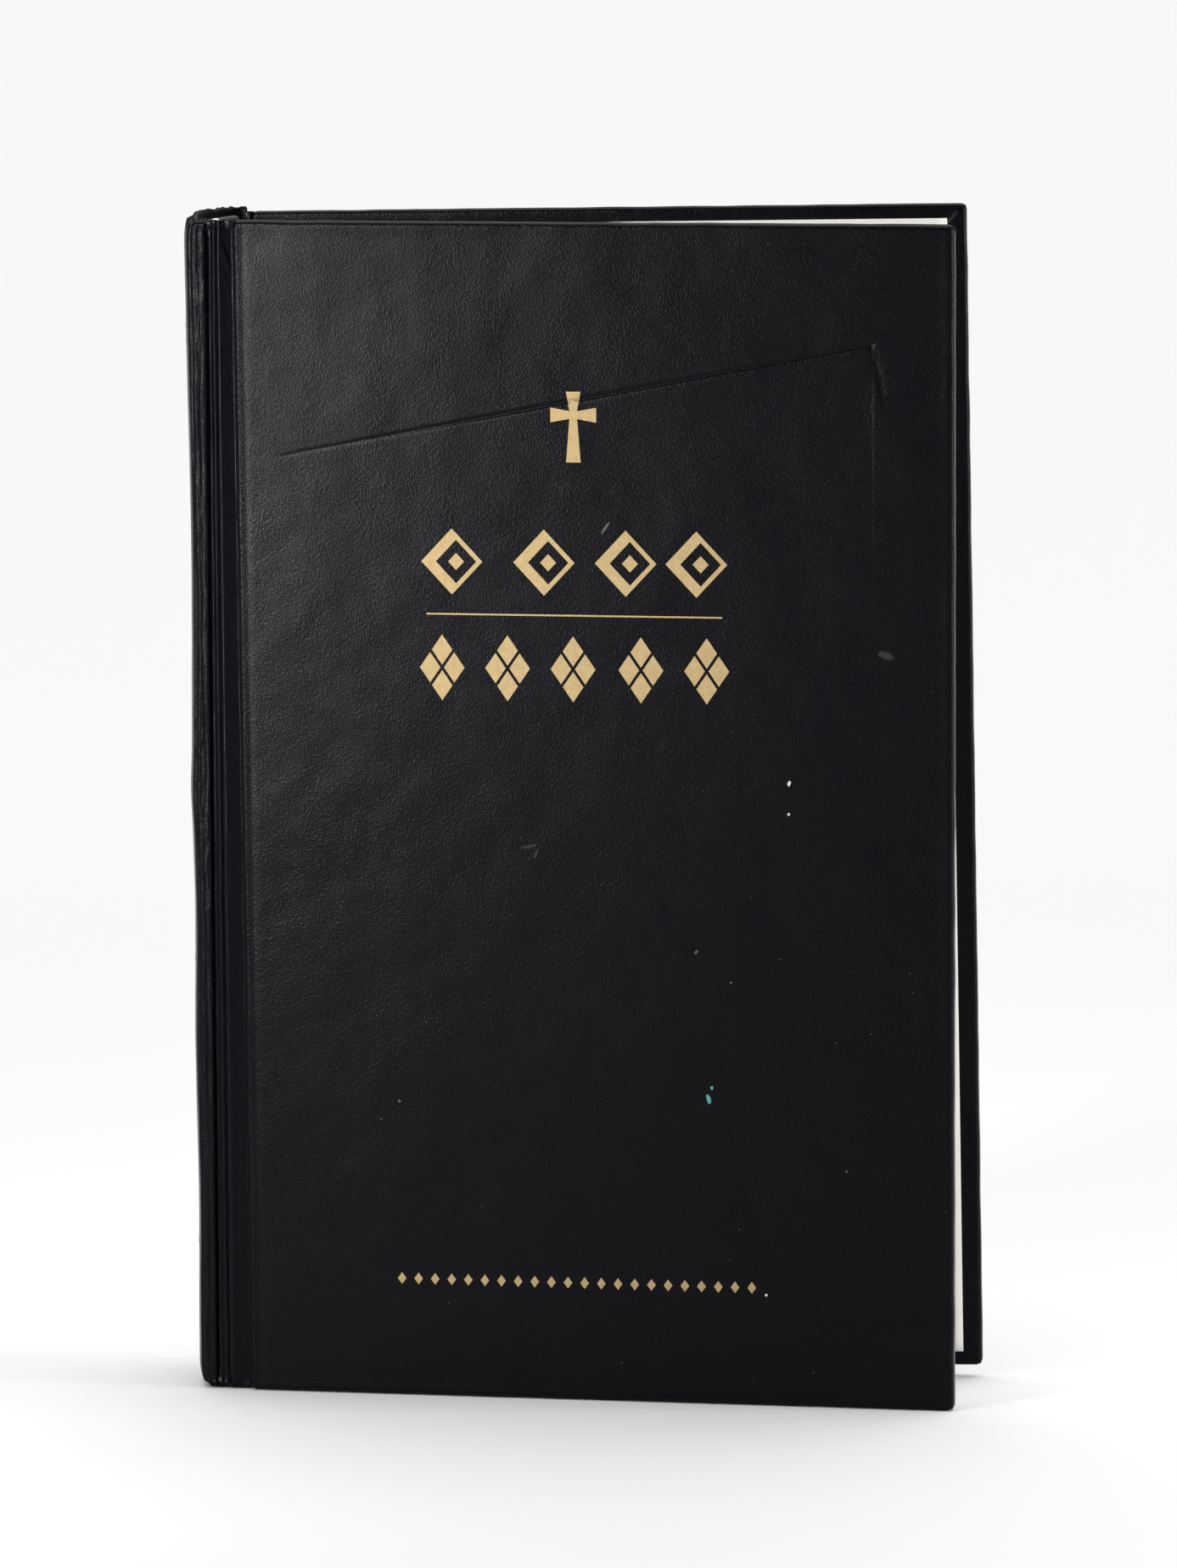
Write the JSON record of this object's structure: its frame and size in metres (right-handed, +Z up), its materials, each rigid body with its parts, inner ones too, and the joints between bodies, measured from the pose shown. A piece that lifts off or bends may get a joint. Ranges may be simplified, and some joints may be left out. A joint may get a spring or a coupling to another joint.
{
  "type": "bible",
  "caption": "Hard-bound bible in black imitation leather with gold foil ornament, hinged covers and a sewn text block that fans open.",
  "frame": {"origin": "centre of the book's box at the height of the covers' lower edges, on which the book stands", "axes": "+Z up along the spine, -X towards the spine, -Y out of the front cover, +Y out of the back cover"},
  "size_m": [0.1465, 0.0418, 0.218],
  "materials": {
    "black_leather": "satin",
    "gold_foil": "satin",
    "grey_board": "matte",
    "bible_paper": "matte",
    "end_paper": "matte",
    "kraft_paper": "matte",
    "card": "matte",
    "mull_cloth": "matte",
    "linen_tape": "matte",
    "linen_thread": "matte",
    "band_silk": "satin"
  },
  "bodies": {
    "spine": {"spine_leather": "black_leather", "spine_inlay": "card", "foil_spine": "gold_foil", "spine_lining": "kraft_paper", "spine_mull": "mull_cloth", "sewing_tapes": "linen_tape", "sewing_threads": "linen_thread", "headband": "band_silk", "tailband": "band_silk", "front_joint_leather": "black_leather", "front_mull_joint": "mull_cloth", "front_endpaper_joint": "end_paper", "back_joint_leather": "black_leather", "back_mull_joint": "mull_cloth", "back_endpaper_joint": "end_paper"},
    "front_cover": {"front_cover_leather": "black_leather", "front_board": "grey_board", "front_mull_flap": "mull_cloth", "front_infill_card": "card", "front_pastedown": "end_paper", "foil_emblem": "gold_foil", "foil_upper_row": "gold_foil", "foil_rule": "gold_foil", "foil_lower_row": "gold_foil", "foil_footer": "gold_foil"},
    "back_cover": {"back_cover_leather": "black_leather", "back_board": "grey_board", "back_mull_flap": "mull_cloth", "back_infill_card": "card", "back_pastedown": "end_paper"},
    "front_flyleaf": {"front_flyleaf": "end_paper"},
    "back_flyleaf": {"back_flyleaf": "end_paper"},
    "section_01": {"section_01": "bible_paper"},
    "section_02": {"section_02": "bible_paper"},
    "section_03": {"section_03": "bible_paper"},
    "section_04": {"section_04": "bible_paper"},
    "section_05": {"section_05": "bible_paper"},
    "section_06": {"section_06": "bible_paper"},
    "section_07": {"section_07": "bible_paper"},
    "section_08": {"section_08": "bible_paper"},
    "section_09": {"section_09": "bible_paper"},
    "section_10": {"section_10": "bible_paper"},
    "section_11": {"section_11": "bible_paper"},
    "section_12": {"section_12": "bible_paper"},
    "section_13": {"section_13": "bible_paper"},
    "section_14": {"section_14": "bible_paper"},
    "section_15": {"section_15": "bible_paper"},
    "section_16": {"section_16": "bible_paper"}
  },
  "joints": [
    {"name": "front_cover_hinge", "type": "hinge", "parent": "spine", "child": "front_cover", "pos_m": [-0.06724, -0.015, 0], "axis": [0, 0, -1], "range_deg": [0, 178], "deforming": ["front_joint_leather", "front_mull_joint", "front_endpaper_joint"]},
    {"name": "back_cover_hinge", "type": "hinge", "parent": "spine", "child": "back_cover", "pos_m": [-0.06724, 0.015, 0], "axis": [0, 0, 1], "range_deg": [0, 178], "deforming": ["back_joint_leather", "back_mull_joint", "back_endpaper_joint"]},
    {"name": "section_01_fold", "type": "hinge", "parent": "spine", "child": "section_01", "pos_m": [-0.06674, -0.014, 0], "axis": [0, 0, -1], "range_deg": [0, 75.02]},
    {"name": "section_02_fold", "type": "hinge", "parent": "spine", "child": "section_02", "pos_m": [-0.06674, -0.01225, 0], "axis": [0, 0, -1], "range_deg": [0, 65.02]},
    {"name": "section_03_fold", "type": "hinge", "parent": "spine", "child": "section_03", "pos_m": [-0.06674, -0.0105, 0], "axis": [0, 0, -1], "range_deg": [0, 55.02]},
    {"name": "section_04_fold", "type": "hinge", "parent": "spine", "child": "section_04", "pos_m": [-0.06674, -0.00875, 0], "axis": [0, 0, -1], "range_deg": [0, 45.02]},
    {"name": "section_05_fold", "type": "hinge", "parent": "spine", "child": "section_05", "pos_m": [-0.06674, -0.007, 0], "axis": [0, 0, -1], "range_deg": [0, 35.02]},
    {"name": "section_06_fold", "type": "hinge", "parent": "spine", "child": "section_06", "pos_m": [-0.06674, -0.00525, 0], "axis": [0, 0, -1], "range_deg": [0, 25.02]},
    {"name": "section_07_fold", "type": "hinge", "parent": "spine", "child": "section_07", "pos_m": [-0.06674, -0.0035, 0], "axis": [0, 0, -1], "range_deg": [0, 15.02]},
    {"name": "section_08_fold", "type": "hinge", "parent": "spine", "child": "section_08", "pos_m": [-0.06674, -0.00175, 0], "axis": [0, 0, -1], "range_deg": [0, 5.02]},
    {"name": "section_09_fold", "type": "hinge", "parent": "spine", "child": "section_09", "pos_m": [-0.06674, 0.00175, 0], "axis": [0, 0, 1], "range_deg": [0, 5.02]},
    {"name": "section_10_fold", "type": "hinge", "parent": "spine", "child": "section_10", "pos_m": [-0.06674, 0.0035, 0], "axis": [0, 0, 1], "range_deg": [0, 15.02]},
    {"name": "section_11_fold", "type": "hinge", "parent": "spine", "child": "section_11", "pos_m": [-0.06674, 0.00525, 0], "axis": [0, 0, 1], "range_deg": [0, 25.02]},
    {"name": "section_12_fold", "type": "hinge", "parent": "spine", "child": "section_12", "pos_m": [-0.06674, 0.007, 0], "axis": [0, 0, 1], "range_deg": [0, 35.02]},
    {"name": "section_13_fold", "type": "hinge", "parent": "spine", "child": "section_13", "pos_m": [-0.06674, 0.00875, 0], "axis": [0, 0, 1], "range_deg": [0, 45.02]},
    {"name": "section_14_fold", "type": "hinge", "parent": "spine", "child": "section_14", "pos_m": [-0.06674, 0.0105, 0], "axis": [0, 0, 1], "range_deg": [0, 55.02]},
    {"name": "section_15_fold", "type": "hinge", "parent": "spine", "child": "section_15", "pos_m": [-0.06674, 0.01225, 0], "axis": [0, 0, 1], "range_deg": [0, 65.02]},
    {"name": "section_16_fold", "type": "hinge", "parent": "spine", "child": "section_16", "pos_m": [-0.06674, 0.014, 0], "axis": [0, 0, 1], "range_deg": [0, 75.02]},
    {"name": "front_flyleaf_fold", "type": "hinge", "parent": "section_01", "child": "front_flyleaf", "pos_m": [-0.06324, -0.01402, 0], "axis": [0, 0, -1], "range_deg": [0, 60.02]},
    {"name": "back_flyleaf_fold", "type": "hinge", "parent": "section_16", "child": "back_flyleaf", "pos_m": [-0.06324, 0.01402, 0], "axis": [0, 0, 1], "range_deg": [0, 60.02]}
  ],
  "couplings": [
    {"joint": "section_01_fold", "follows": "front_cover_hinge", "ratio": 0.42135},
    {"joint": "section_02_fold", "follows": "front_cover_hinge", "ratio": 0.36517},
    {"joint": "section_03_fold", "follows": "front_cover_hinge", "ratio": 0.30899},
    {"joint": "section_04_fold", "follows": "front_cover_hinge", "ratio": 0.25281},
    {"joint": "section_05_fold", "follows": "front_cover_hinge", "ratio": 0.19663},
    {"joint": "section_06_fold", "follows": "front_cover_hinge", "ratio": 0.14045},
    {"joint": "section_07_fold", "follows": "front_cover_hinge", "ratio": 0.08427},
    {"joint": "section_08_fold", "follows": "front_cover_hinge", "ratio": 0.02809},
    {"joint": "section_09_fold", "follows": "back_cover_hinge", "ratio": 0.02809},
    {"joint": "section_10_fold", "follows": "back_cover_hinge", "ratio": 0.08427},
    {"joint": "section_11_fold", "follows": "back_cover_hinge", "ratio": 0.14045},
    {"joint": "section_12_fold", "follows": "back_cover_hinge", "ratio": 0.19663},
    {"joint": "section_13_fold", "follows": "back_cover_hinge", "ratio": 0.25281},
    {"joint": "section_14_fold", "follows": "back_cover_hinge", "ratio": 0.30899},
    {"joint": "section_15_fold", "follows": "back_cover_hinge", "ratio": 0.36517},
    {"joint": "section_16_fold", "follows": "back_cover_hinge", "ratio": 0.42135},
    {"joint": "front_flyleaf_fold", "follows": "front_cover_hinge", "ratio": 0.33708},
    {"joint": "back_flyleaf_fold", "follows": "back_cover_hinge", "ratio": 0.33708}
  ]
}
